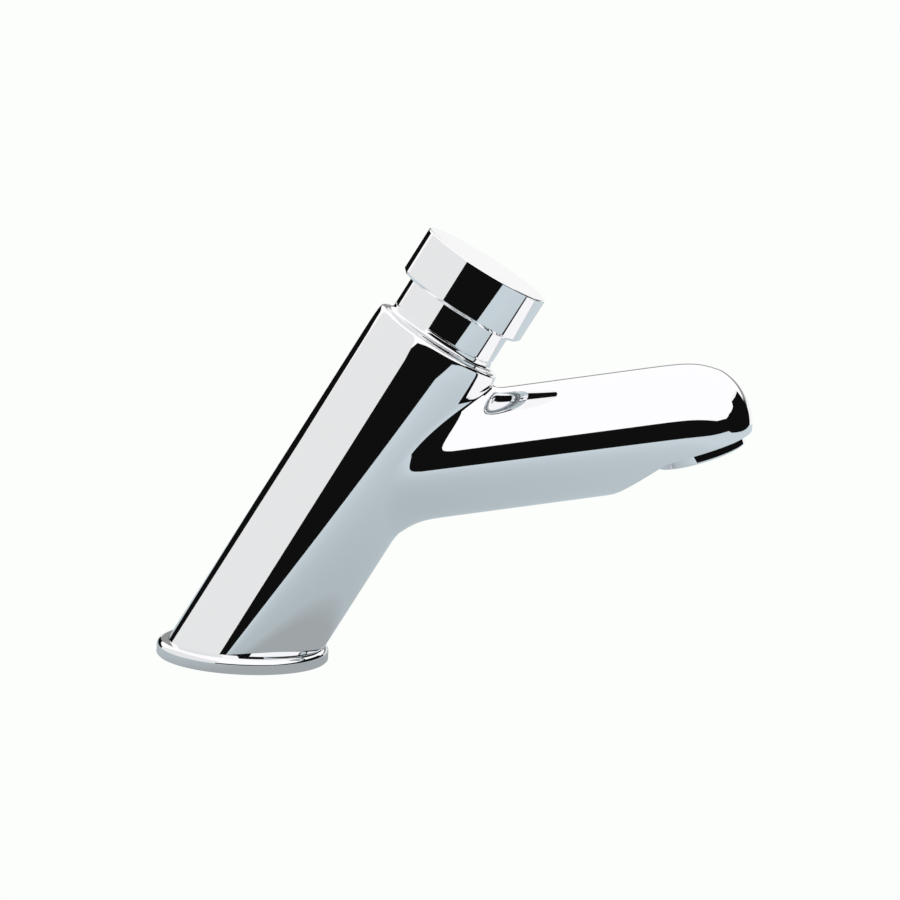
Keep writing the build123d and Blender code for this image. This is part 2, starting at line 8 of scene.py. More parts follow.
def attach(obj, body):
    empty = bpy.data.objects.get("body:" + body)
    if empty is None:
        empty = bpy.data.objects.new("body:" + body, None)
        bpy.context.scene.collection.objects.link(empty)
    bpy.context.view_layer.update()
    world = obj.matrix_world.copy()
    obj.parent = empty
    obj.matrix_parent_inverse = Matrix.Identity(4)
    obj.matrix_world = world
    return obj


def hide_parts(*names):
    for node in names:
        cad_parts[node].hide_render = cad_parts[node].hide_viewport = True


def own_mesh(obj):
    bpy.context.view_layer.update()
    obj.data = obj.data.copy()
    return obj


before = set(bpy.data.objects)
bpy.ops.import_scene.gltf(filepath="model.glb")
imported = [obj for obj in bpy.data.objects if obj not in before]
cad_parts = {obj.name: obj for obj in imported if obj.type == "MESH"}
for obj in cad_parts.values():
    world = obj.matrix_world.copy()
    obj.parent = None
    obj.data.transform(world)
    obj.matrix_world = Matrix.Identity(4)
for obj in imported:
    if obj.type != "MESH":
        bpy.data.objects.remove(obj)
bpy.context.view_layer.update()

# Body and spout: one brass casting, ground, polished and plated with nickel and chrome. The spout
# grows out of the leaning body through a rounded crease that opens wider from its top to its bottom,
# and the body's side draws in a little below the rim.
mm = 0.001
body_radius = 20.3 * mm
lean = radians(60.9)
lean_along = Vector((cos(lean), 0, sin(lean)))
body_start = Vector((0.3, 0, 3)) * mm
body_turn = pi / 2 - lean
body_place = Matrix.Translation(body_start) @ Matrix.Rotation(body_turn, 4, "Y")
body_below = 25 * mm
rim = 109.1 * mm
rim_rounding = 1.2 * mm
crown_height = 8 * mm
crown_inset = 0.3 * mm
crown_bend = (crown_height**2 + crown_inset**2) / (2 * crown_inset)
cavity_radius = 15.2 * mm
cavity_depth = 68 * mm
cavity_floor = rim - cavity_depth
mouth_chamfer = 0.4 * mm
inlet_radius = 9 * mm
inlet_start = 15 * mm
spout_radius = 17.9 * mm
spout_rise = radians(11)
spout_along = Vector((cos(spout_rise), 0, sin(spout_rise)))
spout_up = Vector((-sin(spout_rise), 0, cos(spout_rise)))
spout_below_rim = 45.3 * mm
spout_start = body_start + lean_along * (rim - spout_below_rim)
spout_reach = 99.1 * mm
crease_radius = 1.4 * mm
crotch_radius = 16 * mm
crease_opening = 1.4
crease_spread = 1.6
ball_settlings = 3
small_turn = 0.01
columns = 192
plain_heights = (0, 20, 35)
root_heights = range(45, 101)
crown_rows = 10
rim_steps = 8
crease_rows = 14
tube_rows = 44
dome_rows = 24
tube_spacing = 1.4
dome_start = crease_rows + tube_rows
first_eased = 5
eased_past_crease = 12
eased_before_dome = 6
eased_past_dome = 10
eased_rows = [*range(first_eased, crease_rows + eased_past_crease)]
eased_rows += range(dome_start - eased_before_dome, dome_start + eased_past_dome)
easing_passes = 24
easing_share = 0.5
sharp_from = radians(32)
merge_within = 0.001 * mm


class Value:
    """A socket in a material, used in Python arithmetic: each operation adds a Math node."""

    def __init__(self, tree, socket):
        self.tree = tree
        self.socket = socket

    def maths(self, operation, first, second):
        node = self.tree.nodes.new("ShaderNodeMath")
        node.operation = operation
        for place, value in enumerate((first, second)):
            if isinstance(value, Value):
                self.tree.links.new(value.socket, node.inputs[place])
            else:
                node.inputs[place].default_value = value
        return Value(self.tree, node.outputs[0])

    def __add__(self, other):
        return self.maths("ADD", self, other)

    def __radd__(self, other):
        return self.maths("ADD", other, self)

    def __mul__(self, other):
        return self.maths("MULTIPLY", self, other)

    def __rmul__(self, other):
        return self.maths("MULTIPLY", other, self)


class Finish:
    """A material and the nodes that it is made of."""

    def __init__(self, name, **constants):
        self.material = bpy.data.materials.new(name)
        self.material.use_nodes = True
        self.tree = self.material.node_tree
        self.shader = self.tree.nodes["Principled BSDF"]
        for socket, value in constants.items():
            self.shader.inputs[socket.replace("_", " ")].default_value = value
        self.place = self.add("ShaderNodeTexCoord", output="Object")

    def add(self, kind, settings=None, sockets=None, output=0):
        """A node with its settings made first, then its sockets filled with values or links."""
        node = self.tree.nodes.new(kind)
        for setting, value in (settings or {}).items():
            setattr(node, setting, value)
        for socket, value in (sockets or {}).items():
            if isinstance(value, Value):
                self.tree.links.new(value.socket, node.inputs[socket])
            else:
                node.inputs[socket].default_value = value
        return Value(self.tree, node.outputs[output])

    def feed(self, socket, value):
        self.tree.links.new(value.socket, self.shader.inputs[socket])

    def grain(self, scale, detail=2.0, place=None):
        """Noise from 0 to 1, scale per metre."""
        sockets = {"Vector": place or self.place, "Scale": scale, "Detail": detail}
        return self.add("ShaderNodeTexNoise", sockets=sockets)

    def mixed(self, share, first, last):
        """A colour between two others."""
        sockets = {0: share, 6: (*first, 1), 7: (*last, 1)}
        return self.add("ShaderNodeMix", {"data_type": "RGBA"}, sockets, output=2)

    def bumps(self, height, depth):
        """Raises the surface by up to depth where height goes from 0 to 1."""
        sockets = {"Height": height, "Distance": depth, "Strength": 1.0}
        self.feed("Normal", self.add("ShaderNodeBump", sockets=sockets))


chrome = Finish("polished_chrome", Metallic=1.0, Base_Color=(0.93, 0.935, 0.945, 1))
chrome.feed("Roughness", 0.012 + 0.02 * chrome.grain(90))
chrome.bumps(chrome.grain(140, 1.0), 0.0015 * mm)


def across(vector, axis):
    """The part of a vector that is square to an axis."""
    return vector - axis * vector.dot(axis)


def crown_sag(height):
    """How far the body's side has drawn in at a height near the rim."""
    up = min(max(height - rim + crown_height, 0), crown_height)
    return crown_bend - sqrt(crown_bend**2 - up**2)


def ball(angle):
    """Centre, radius and side of the ball that rolls in the crease between body and spout."""
    turn = min(acos(cos(angle)) * crease_spread, pi)
    opening = ((1 - cos(turn)) / 2) ** crease_opening
    radius = crease_radius + (crotch_radius - crease_radius) * opening
    outward = spout_up * cos(angle) + Vector((0, sin(angle), 0))
    aside = across(outward, lean_along) * (spout_radius + radius)
    run = across(spout_along, lean_along)
    half = run.dot(aside)
    centre = spout_start
    for settling in range(ball_settlings):
        reach = body_radius - crown_sag((centre - body_start).dot(lean_along)) + radius
        rest = aside.length_squared - reach**2
        along = (sqrt(half**2 - run.length_squared * rest) - half) / run.length_squared
        centre = spout_start + spout_along * along + outward * (spout_radius + radius)
    return centre, radius, outward


def crease(angle, share):
    """A point of the rounded crease, from the spout at share 0 to the body at share 1."""
    centre, radius, outward = ball(angle)
    path = (ball(angle + small_turn)[0] - ball(angle - small_turn)[0]).normalized()
    on_spout = -outward * radius
    on_body = -across(centre - body_start, lean_along).normalized() * radius
    middle = path * path.dot(on_spout)
    first, last = on_spout - middle, on_body - middle
    return centre + middle + first.normalized().slerp(last.normalized(), share) * first.length


def arc(radius, height, bend, start, turn, steps):
    """Points of an arc about (radius, height), by its radius, first angle and turn."""
    angles = [start + turn * step / steps for step in range(steps + 1)]
    return [(radius + bend * cos(angle), height + bend * sin(angle)) for angle in angles]


def turned(outline, steps=columns, closed=False):
    """A shape turned about Z from a line of (radius, height) points."""
    shape = bmesh.new()
    points = [shape.verts.new((radius, 0, height)) for radius, height in outline]
    edges = [shape.edges.new(pair) for pair in zip(points, points[1:])]
    if closed:
        edges.append(shape.edges.new((points[-1], points[0])))
    axis = {"cent": (0, 0, 0), "axis": (0, 0, 1), "angle": 2 * pi}
    bmesh.ops.spin(shape, geom=points + edges, steps=steps, use_merge=True, **axis)
    bmesh.ops.remove_doubles(shape, verts=shape.verts, dist=merge_within)
    return shape


def piece_of(shape, name, finish, body="tap", nodes=(), place=None, even=True):
    """Makes a shape a piece of the tap that stands for CAD nodes, smooth between sharp edges."""
    if place:
        shape.transform(place)
    shape.normal_update()
    bmesh.ops.recalc_face_normals(shape, faces=shape.faces)
    for face in shape.faces:
        face.smooth = True
    mesh = bpy.data.meshes.new(name)
    shape.to_mesh(mesh)
    shape.free()
    mesh.set_sharp_from_angle(angle=sharp_from)
    mesh.materials.append(finish.material)
    piece = bpy.data.objects.new(name, mesh)
    bpy.context.scene.collection.objects.link(piece)
    if even:
        piece.modifiers.new("even_shading", "WEIGHTED_NORMAL").keep_sharp = True
    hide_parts(*nodes)
    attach(piece, body)
    return piece


# The body's outline runs up its side and crown, over the rim and down through the cartridge's bore.
rows = [-body_below] + [height * mm for height in (*plain_heights, *root_heights)]
crown_side = crown_height - rim_rounding
rows += [rim - crown_height + crown_side * row / crown_rows for row in range(crown_rows)]
outline = [(0, -body_below)] + [(body_radius - crown_sag(height), height) for height in rows]
rim_flat = body_radius - crown_inset - rim_rounding
outline += arc(rim_flat, rim - rim_rounding, rim_rounding, 0, pi / 2, rim_steps)
outline += [(cavity_radius + mouth_chamfer, rim), (cavity_radius, rim - mouth_chamfer)]
outline += [(cavity_radius, cavity_floor), (inlet_radius, cavity_floor)]
outline += [(inlet_radius, inlet_start), (0, inlet_start)]
casting = turned(outline)
casting.transform(body_place)

# The spout starts as a straight tube, whose rows are laid over crease, spout and tip. Where the crease
# runs out on the spout, and where the tip begins, each line of points is eased, as polishing does.
spout = turned([(1, row) for row in range(dome_start + dome_rows + 1)])
lines = {}
for point in spout.verts:
    angle = atan2(point.co.y, point.co.x)
    row = round(point.co.z)
    lines.setdefault(round(angle * columns / (2 * pi)) % columns, {})[row] = point
    outward = spout_up * cos(angle) + Vector((0, sin(angle), 0))
    start = (crease(angle, 0) - spout_start).dot(spout_along)
    if row <= crease_rows:
        point.co = crease(angle, 1 - row / crease_rows)
    elif row <= dome_start:
        share = (row - crease_rows) / tube_rows
        along = start + (spout_reach - start) * share**tube_spacing
        point.co = spout_start + spout_along * along + outward * spout_radius
    else:
        bend = pi / 2 * (row - dome_start) / dome_rows
        along = spout_reach + spout_radius * sin(bend)
        point.co = spout_start + spout_along * along + outward * spout_radius * cos(bend)
for line in lines.values():
    for passing in range(easing_passes):
        middles = [(line[row - 1].co + line[row + 1].co) / 2 for row in eased_rows]
        for row, middle in zip(eased_rows, middles):
            line[row].co = line[row].co.lerp(middle, easing_share)
bmesh.ops.remove_doubles(spout, verts=spout.verts, dist=merge_within)

# The body is opened where the spout grows out of it, and the two are joined round the opening.
root = KDTree(columns)
for column in range(columns):
    root.insert(crease(2 * pi * column / columns, 1), column)
root.balance()
root_middle = (crease(0, 1) + crease(pi, 1)) / 2
root_margin = 0.5 * mm
root_skin = 1 * mm


def under_spout(face):
    """True where a face of the body's side lies under the root of the spout."""
    centre = face.calc_center_median()
    if across(centre - body_start, lean_along).length < body_radius - root_skin:
        return False
    edge = root.find(centre)[0]
    return (centre - root_middle).length < (edge - root_middle).length + root_margin


opened = [face for face in casting.faces if under_spout(face)]
bmesh.ops.delete(casting, geom=opened, context="FACES")
spout_mesh = bpy.data.meshes.new("spout")
spout.to_mesh(spout_mesh)
spout.free()
casting.from_mesh(spout_mesh)
bmesh.ops.bridge_loops(casting, edges=[edge for edge in casting.edges if edge.is_boundary])
body_and_spout = piece_of(casting, "body_and_spout", chrome, nodes=["tap_body"], even=False)

# Machining of the casting: its foot is cut level with a spigot left to centre the flange, the spout's
# underside is scooped up to a flat land, and the holes for tail, outlet and water are bored.
foot_height = 4.5 * mm
foot_reach = 60 * mm
spigot_radius = 15 * mm
spigot_depth = 1.5 * mm
tail_hole_radius = 10.56 * mm
tail_hole_top = 16.5 * mm
spout_place = Matrix.Translation(spout_start) @ Matrix.Rotation(pi / 2 - spout_rise, 4, "Y")
scoop_start = 68.5 * mm
scoop_slope = radians(39)
scoop_bend = 16 * mm
outlet_tilt = radians(20)
outlet_down = Vector((sin(outlet_tilt), 0, -cos(outlet_tilt)))
outlet_depth = 7.1 * mm
outlet_centre = spout_start + spout_along * spout_reach + outlet_down * outlet_depth
outlet_place = Matrix.Translation(outlet_centre) @ Matrix.Rotation(pi - outlet_tilt, 4, "Y")
throat_radius = 9
throat_top = -14.8
thread_hole_radius = 12
thread_hole_top = -7.8
outlet_seat_radius = 13.8
outlet_clear = 20
outlet_bore = [(0, throat_top), (throat_radius, throat_top), (throat_radius, thread_hole_top)]
outlet_bore += [(thread_hole_radius, thread_hole_top), (thread_hole_radius, 0)]
outlet_bore += [(outlet_seat_radius, 0), (outlet_seat_radius, outlet_clear), (0, outlet_clear)]
port_radius = 8.5
port_start = 8
port_end = 30
core_radius = 11
core_end = 72
core_taper = 6
throat_way_radius = 4.8
throat_way_lift = 5.6 * mm
waterway = [(0, port_start), (port_radius, port_start), (port_radius, port_end)]
waterway += [(core_radius, port_end + core_taper), (core_radius, core_end)]
waterway += [(throat_way_radius, core_end + core_taper), (0, core_end + core_taper)]
cutter_steps = 96
scoop_steps = 24


def cut(piece, tool, operation="DIFFERENCE"):
    """Cuts a piece with another shape, or joins the two."""
    tool.normal_update()
    bmesh.ops.recalc_face_normals(tool, faces=tool.faces)
    mesh = bpy.data.meshes.new("tool")
    tool.to_mesh(mesh)
    tool.free()
    cutter = bpy.data.objects.new("tool", mesh)
    bpy.context.scene.collection.objects.link(cutter)
    modifier = piece.modifiers.new("cut", "BOOLEAN")
    modifier.operation = operation
    modifier.solver = "MANIFOLD"
    modifier.object = cutter
    piece.modifiers.move(len(piece.modifiers) - 1, 0)
    kept = {other.name: other.show_viewport for other in piece.modifiers if other != modifier}
    for name in kept:
        piece.modifiers[name].show_viewport = False
    done = piece.evaluated_get(bpy.context.evaluated_depsgraph_get())
    piece.data = bpy.data.meshes.new_from_object(done)
    piece.modifiers.remove(modifier)
    for name, shown in kept.items():
        piece.modifiers[name].show_viewport = shown
    bpy.data.objects.remove(cutter)


def drum(radius, low, high, place=None):
    """A plain round cutter along Z."""
    shape = turned([(0, low), (radius, low), (radius, high), (0, high)], cutter_steps)
    if place:
        shape.transform(place)
    return shape


def bored(outline, place):
    """A turned cutter from an outline in millimetres."""
    shape = turned([(radius * mm, height * mm) for radius, height in outline], cutter_steps)
    shape.transform(place)
    return shape


scoop_turn = scoop_slope - spout_rise
land_turn = outlet_tilt - spout_rise
scoop = arc(scoop_start, scoop_bend - spout_radius, scoop_bend, -pi / 2, scoop_turn, scoop_steps)
land_along = spout_reach + outlet_depth * sin(land_turn)
land_up = -outlet_depth * cos(land_turn)
land_rise = land_up - scoop[-1][1] - tan(land_turn) * (land_along - scoop[-1][0])
scoop_run = land_rise / (tan(scoop_turn) - tan(land_turn))
past_tip = spout_reach + 2 * spout_radius
scoop.append((scoop[-1][0] + scoop_run, scoop[-1][1] + scoop_run * tan(scoop_turn)))
scoop.append((past_tip, land_up + tan(land_turn) * (past_tip - land_along)))
scoop += [(past_tip, -2 * spout_radius), (scoop_start, -2 * spout_radius)]
scoop_cutter = bmesh.new()
side = spout_radius * 1.5
corners = [spout_start + spout_along * along + spout_up * up for along, up in scoop]
scoop_points = [scoop_cutter.verts.new(corner - Vector((0, side, 0))) for corner in corners]
scoop_face = scoop_cutter.faces.new(scoop_points)
pushed = bmesh.ops.extrude_face_region(scoop_cutter, geom=[scoop_face])["geom"]
ends = [part for part in pushed if isinstance(part, bmesh.types.BMVert)]
bmesh.ops.translate(scoop_cutter, verts=ends, vec=(0, 2 * side, 0))

throat_way_place = Matrix.Translation(spout_up * throat_way_lift) @ spout_place
cut(body_and_spout, scoop_cutter)
cut(body_and_spout, bored(outlet_bore, outlet_place))
cut(body_and_spout, bored(waterway, spout_place))
throat_way_start = (core_end - core_taper) * mm
throat_way = drum(throat_way_radius * mm, throat_way_start, spout_reach, throat_way_place)
cut(body_and_spout, throat_way)
cut(body_and_spout, drum(foot_reach, -foot_reach, foot_height))
cut(body_and_spout, drum(spigot_radius, foot_height - spigot_depth, tail_hole_top - mm), "UNION")
cut(body_and_spout, drum(tail_hole_radius, 0, tail_hole_top))


def true_normal(point):
    """The exact outward direction on the body's side and on the spout, and none elsewhere."""
    near = 0.003 * mm
    height = (point - body_start).dot(lean_along)
    aside = across(point - body_start, lean_along)
    if height < rim - rim_rounding and abs(aside.length - body_radius + crown_sag(height)) < near:
        up = max(height - rim + crown_height, 0)
        return (aside.normalized() + lean_along * up / crown_bend).normalized()
    along = (point - spout_start).dot(spout_along)
    reached = spout_along * min(along, spout_reach)
    aside = point - spout_start - reached
    return aside.normalized() if abs(aside.length - spout_radius) < near else None


mesh = body_and_spout.data
mesh.set_sharp_from_angle(angle=sharp_from)
normals = [corner.vector.copy() for corner in mesh.corner_normals]
least_facing = cos(radians(15))
for face in mesh.polygons:
    for corner in face.loop_indices:
        exact = true_normal(mesh.vertices[mesh.loops[corner].vertex_index].co)
        if exact and exact.dot(face.normal) > least_facing:
            normals[corner] = exact
mesh.normals_split_custom_set(normals)

# Flange: a round plate of chromed brass that hides the tap hole. It is turned, polished on its rounded
# edge, and centred by the spigot of the casting.
flange_columns = 256
flange_radius = 25.5
flange_height = 4.5
flange_rounding = 1.8
flange_chamfer = 0.5
flange_hole = 11.08
flange_seat = (15.05, 1.5)
flange_recess = (16.45, 23.05, 1.8)
flange_steps = 10
on_axis = 0.001
slight_corner = radians(20)
ease_share = 0.4


def eased(outline, ease):
    """A closed outline whose corners are rounded a little, as turning and polishing leave them."""
    rounded = []
    for place, (radius, height) in enumerate(outline):
        corner = Vector((radius, height))
        before = Vector(outline[place - 1]) - corner
        after = Vector(outline[(place + 1) % len(outline)]) - corner
        if radius < on_axis or before.angle(-after) < slight_corner:
            rounded.append(corner)
            continue
        first = corner + before.normalized() * min(ease, before.length * ease_share)
        last = corner + after.normalized() * min(ease, after.length * ease_share)
        for share in (0, 1 / 3, 2 / 3, 1):
            rounded.append(first.lerp(corner, share).lerp(corner.lerp(last, share), share))
    return rounded


def turned_piece(name, node, outline, finish, slot, place=None, body="tap", ease=0.12, steps=128):
    """A piece turned from an outline in millimetres, which starts on the axis if it meets it."""
    hollow = outline[0][0] > 0
    points = [(radius * mm, height * mm) for radius, height in eased(outline, ease)]
    shape = turned(points, steps, closed=hollow)
    return piece_of(shape, name, finish, body, [node], place)


recess_inner, recess_outer, recess_height = flange_recess
flange_outline = [(flange_hole, 0), (recess_inner, 0), (recess_inner, recess_height)]
flange_outline += [(recess_outer, recess_height), (recess_outer, 0)]
flange_outline += [(flange_radius - flange_chamfer, 0), (flange_radius, flange_chamfer)]
flange_shoulder = (flange_radius - flange_rounding, flange_height - flange_rounding)
flange_outline += arc(*flange_shoulder, flange_rounding, 0, pi / 2, flange_steps)
seat_radius, seat_depth = flange_seat
seat_floor = flange_height - seat_depth
flange_outline += [(seat_radius, flange_height), (seat_radius, seat_floor), (flange_hole, seat_floor)]
flange_settings = {"ease": 0.08, "steps": flange_columns}
turned_piece("flange_plate", "base_flange", flange_outline, chrome, "chrome", **flange_settings)

# Rubber seals: the ring let into the flange's underside, the washer under the basin, and the seals of
# tail, cartridge, stem and outlet. All are moulded black rubber with a fine matt skin.
basin_underside = -18
deck_washer_low = -21
deck_washer_radius = 21
washer_hole = 10.78
rubber = Finish("black_rubber")
mottle = rubber.grain(700, 3.0)
rubber.feed("Base Color", rubber.mixed(mottle, (0.020, 0.020, 0.023), (0.042, 0.042, 0.046)))
rubber.feed("Roughness", 0.55 + 0.25 * mottle)
rubber.bumps(rubber.grain(6000, 2.0), 0.02 * mm)


def flat_ring(inner, outer, low, high):
    """The outline of a flat ring."""
    return [(inner, low), (outer, low), (outer, high), (inner, high)]


foot_seal_outline = flat_ring(inner=16.5, outer=23, low=0, high=1.8)
turned_piece("foot_seal", "base_seal", foot_seal_outline, rubber, "rubber", ease=0.25)
deck_washer_outline = flat_ring(washer_hole, deck_washer_radius, deck_washer_low, basin_underside)
turned_piece("basin_washer", "deck_washer", deck_washer_outline, rubber, "rubber", ease=0.5)


def dress(finish, *names):
    """Gives a finish to solids whose shape stays as it is."""
    for name in names:
        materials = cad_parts[name].data.materials
        materials.clear()
        materials.append(finish.material)


dress(rubber, "shank_o_ring", "collar_o_ring", "stem_seal", "sleeve_o_ring_lower", "sleeve_o_ring_upper")
dress(rubber, "chamber_gasket", "valve_washer", "lip_seal", "aerator_seal")

# Tail: a turned brass tube with a G1/2 thread, screwed and sealed into the foot of the casting. The
# thread stops below the seal's groove, and a relief parts the hose's end from the nut's.
tail_bore = 7
tail_low = -56
tail_top = 15
tail_chamfer = 1
tail_columns = 96
relief_radius = 9.18
relief_low = -36
relief_high = -34
seal_groove_radius = 8.56
seal_groove_low = 5.35
seal_groove_high = 7.65
thread_pitch = 1.814
thread_crest = 10.48
thread_root = 9.32
thread_over = 11.2
thread_flat = 0.22
thread_floor_height = 0.12
thread_floor_share = 0.08
thread_steps = 48
thread_start = -57.8
thread_turns = 34
upright = (Vector((0, 0, 0)), 0)
leaning = (body_start, body_turn)


def turned_brass(name, axis):
    """Bare brass with the fine rings that a lathe leaves round an axis."""
    brass = Finish(name, Metallic=1.0)
    sockets = {"Vector": brass.place, "Location": axis[0], "Rotation": (0, axis[1], 0)}
    inner = brass.add("ShaderNodeMapping", {"vector_type": "TEXTURE"}, sockets)
    flat = brass.add("ShaderNodeMapping", sockets={"Vector": inner, "Scale": (1, 1, 0)})
    radius = brass.add("ShaderNodeVectorMath", {"operation": "LENGTH"}, {0: flat}, output=1)
    height = brass.add("ShaderNodeSeparateXYZ", sockets={0: inner}, output=2)
    section = brass.add("ShaderNodeCombineXYZ", sockets={0: radius, 2: height})
    rings = brass.grain(5000, 1.0, section)
    patina = brass.grain(120, 4.0)
    brass.feed("Base Color", brass.mixed(patina, (0.72, 0.53, 0.26), (0.84, 0.68, 0.39)))
    brass.feed("Roughness", 0.2 + 0.16 * rings + 0.1 * patina)
    brass.bumps(rings, 0.008 * mm)
    return brass


def thread_cutter(start, turns, crest, root, over, pitch):
    """The groove of a thread, in millimetres: a V with a narrow floor that winds up from its start."""
    half = (pitch - thread_flat) / 2 * (over - root) / (crest - root)
    tip = pitch * thread_floor_share
    floor = root + thread_floor_height
    profile = [(over, -half), (floor, -tip), (root, 0), (floor, tip), (over, half)]
    profile = [(radius * mm, 0, (start + height) * mm) for radius, height in profile]
    groove = bmesh.new()
    points = [groove.verts.new(point) for point in profile]
    edges = [groove.edges.new(pair) for pair in zip(points, points[1:] + points[:1])]
    rise = Vector((0, 0, pitch * mm / thread_steps))
    axis = {"cent": (0, 0, 0), "axis": (0, 0, 1), "dvec": rise, "angle": 2 * pi}
    bmesh.ops.spin(groove, geom=points + edges, steps=thread_steps, **axis)
    one_turn = groove.verts[:] + groove.edges[:] + groove.faces[:]
    for turn in range(1, turns):
        copied = bmesh.ops.duplicate(groove, geom=one_turn)["geom"]
        moved = [part for part in copied if isinstance(part, bmesh.types.BMVert)]
        bmesh.ops.translate(groove, verts=moved, vec=(0, 0, turn * pitch * mm))
    bmesh.ops.remove_doubles(groove, verts=groove.verts, dist=merge_within)
    bmesh.ops.holes_fill(groove, edges=[edge for edge in groove.edges if edge.is_boundary])
    return groove


brass_upright = turned_brass("turned_brass_tail", upright)
brass_leaning = turned_brass("turned_brass_cartridge", leaning)
tail_outline = [(tail_bore, tail_low), (thread_crest - tail_chamfer, tail_low)]
tail_outline += [(thread_crest, tail_low + tail_chamfer), (thread_crest, relief_low)]
tail_outline += [(relief_radius, relief_low), (relief_radius, relief_high), (thread_crest, relief_high)]
tail_outline += [(thread_crest, seal_groove_low), (seal_groove_radius, seal_groove_low)]
tail_outline += [(seal_groove_radius, seal_groove_high), (thread_crest, seal_groove_high)]
tail_outline += [(thread_crest, tail_top), (tail_bore, tail_top)]
tail_settings = {"steps": tail_columns}
tail = turned_piece("threaded_tail", "inlet_shank", tail_outline, brass_upright, "brass", **tail_settings)
thread_size = (thread_crest, thread_root, thread_over, thread_pitch)
cut(tail, thread_cutter(thread_start, thread_turns, *thread_size))
tail.data.set_sharp_from_angle(angle=sharp_from)

# Washer and back nut: a stamped stainless washer, and a brass hexagon nut with both faces chamfered,
# which clamp the basin from below.
nut_flats = 30 * mm
nut_low = -30.5
nut_high = -22.5
nut_corner = nut_flats / 2 / cos(pi / 6)
nut_edge_bevel = 0.25 * mm
face_radius = 14.5
guard_radius = 17.6
guard_slope = 1.7
nut_guard = [(0, nut_low), (face_radius, nut_low), (guard_radius, nut_low + guard_slope)]
nut_guard += [(guard_radius, nut_high - guard_slope), (face_radius, nut_high), (0, nut_high)]
nut_bore = 10.56
nut_mouth = 11.16
mouth_slope = 0.6
past_nut = 0.5
nut_hole = [(0, nut_low - past_nut), (nut_mouth, nut_low - past_nut), (nut_mouth, nut_low)]
nut_hole += [(nut_bore, nut_low + mouth_slope), (nut_bore, nut_high - mouth_slope)]
nut_hole += [(nut_mouth, nut_high), (nut_mouth, nut_high + past_nut), (0, nut_high + past_nut)]
steel = Finish("stamped_stainless", Metallic=1.0)
drawn = steel.grain(2600, 3.0)
clouds = steel.grain(90, 3.0)
steel.feed("Base Color", steel.mixed(clouds, (0.60, 0.60, 0.61), (0.71, 0.71, 0.72)))
steel.feed("Roughness", 0.2 + 0.2 * drawn)
steel.bumps(drawn, 0.006 * mm)
clamp_washer_radius = 20
washer_outline = flat_ring(washer_hole, clamp_washer_radius, nut_high, deck_washer_low)
turned_piece("steel_washer", "clamp_washer", washer_outline, steel, "stainless", ease=0.3)
dress(steel, "spring_seat", "cartridge_strainer", "piston_ring", "aerator_screen", "stem")

nut_shape = bmesh.new()
hexagon = {"segments": 6, "radius1": nut_corner, "radius2": nut_corner}
bmesh.ops.create_cone(nut_shape, cap_ends=True, depth=(nut_high - nut_low) * mm, **hexagon)
to_corner = Matrix.Rotation(pi / 6, 4, "Z")
nut_shape.transform(Matrix.Translation((0, 0, (nut_low + nut_high) / 2 * mm)) @ to_corner)
upright_edges = [edge for edge in nut_shape.edges if abs(edge.verts[0].co.z - edge.verts[1].co.z) > mm]
rounding = {"segments": 3, "profile": 0.5, "material": -1, "affect": "EDGES"}
bmesh.ops.bevel(nut_shape, geom=upright_edges, offset=nut_edge_bevel, **rounding)
nut = piece_of(nut_shape, "back_nut", brass_upright, nodes=["lock_nut"])
cut(nut, bored(nut_guard, Matrix.Identity(4)), "INTERSECT")
cut(nut, bored(nut_hole, Matrix.Identity(4)))
nut.data.set_sharp_from_angle(angle=sharp_from)

# Cartridge and guide: turned brass pieces inside the casting, with the valve's seat pressed into the
# sleeve, and the cup that carries the valve's rubber disc on the button's stem.
dress(brass_leaning, "cartridge_sleeve", "valve_seat", "stem_guide", "valve_head")

# Acetal pieces: the timing piston, the flow regulator and the cap's liner are moulded in natural white
# plastic. The liner sits in the cap and slides on the neck.
liner_inner = 16.8
liner_outer = 17.75
liner_low = 121.5
liner_roof = 130.7
liner_top = 132.7
liner_hole = 5.05
acetal = Finish("white_acetal", IOR=1.48)
clouding = acetal.grain(260, 3.0)
acetal.feed("Base Color", acetal.mixed(clouding, (0.79, 0.80, 0.81), (0.86, 0.87, 0.87)))
acetal.feed("Roughness", 0.32 + 0.14 * acetal.grain(1400, 2.0))
acetal.bumps(acetal.grain(3200, 2.0), 0.008 * mm)
dress(acetal, "piston", "flow_regulator")
liner_outline = [(liner_inner, liner_low), (liner_outer, liner_low), (liner_outer, liner_top)]
liner_outline += [(liner_hole, liner_top), (liner_hole, liner_roof), (liner_inner, liner_roof)]
turned_piece("cap_bush", "cap_liner", liner_outline, acetal, "plastic", body_place, "button")

# Collar: turned, chromed brass. Its upper half is the neck below the cap, with a small foot on the
# body's rim and a fine groove above it, and its lower half screws into the body's mouth.
neck_radius = 16.7
neck_foot = 0.5
neck_fillet = 1.2
rim_height = rim / mm
neck_height = 14.6
neck_top = rim_height + neck_height
neck_chamfer = 0.6
neck_foot_radius = 18
fillet_steps = 8
fine_groove_low = rim_height + 2.3
fine_groove_high = rim_height + 2.8
fine_groove_floor = neck_radius - 0.4
spring_pocket = 12
pocket_floor = 107
guide_flange = 6.55
guide_flange_floor = 105.5
guide_hole = 5.05
guide_end = 100.2
stem_hole = 3.6
collar_low = 99
collar_radius = 15.12
collar_groove_radius = 13.2
collar_groove_low = 105.15
collar_groove_high = 107.45
fillet_centre = (neck_radius + neck_fillet, rim_height + neck_foot + neck_fillet)
collar_outline = arc(*fillet_centre, neck_fillet, -pi / 2, -pi / 2, fillet_steps)
collar_outline += [(neck_radius, fine_groove_low), (fine_groove_floor, fine_groove_low)]
collar_outline += [(fine_groove_floor, fine_groove_high), (neck_radius, fine_groove_high)]
collar_outline += [(neck_radius, neck_top - neck_chamfer), (neck_radius - neck_chamfer, neck_top)]
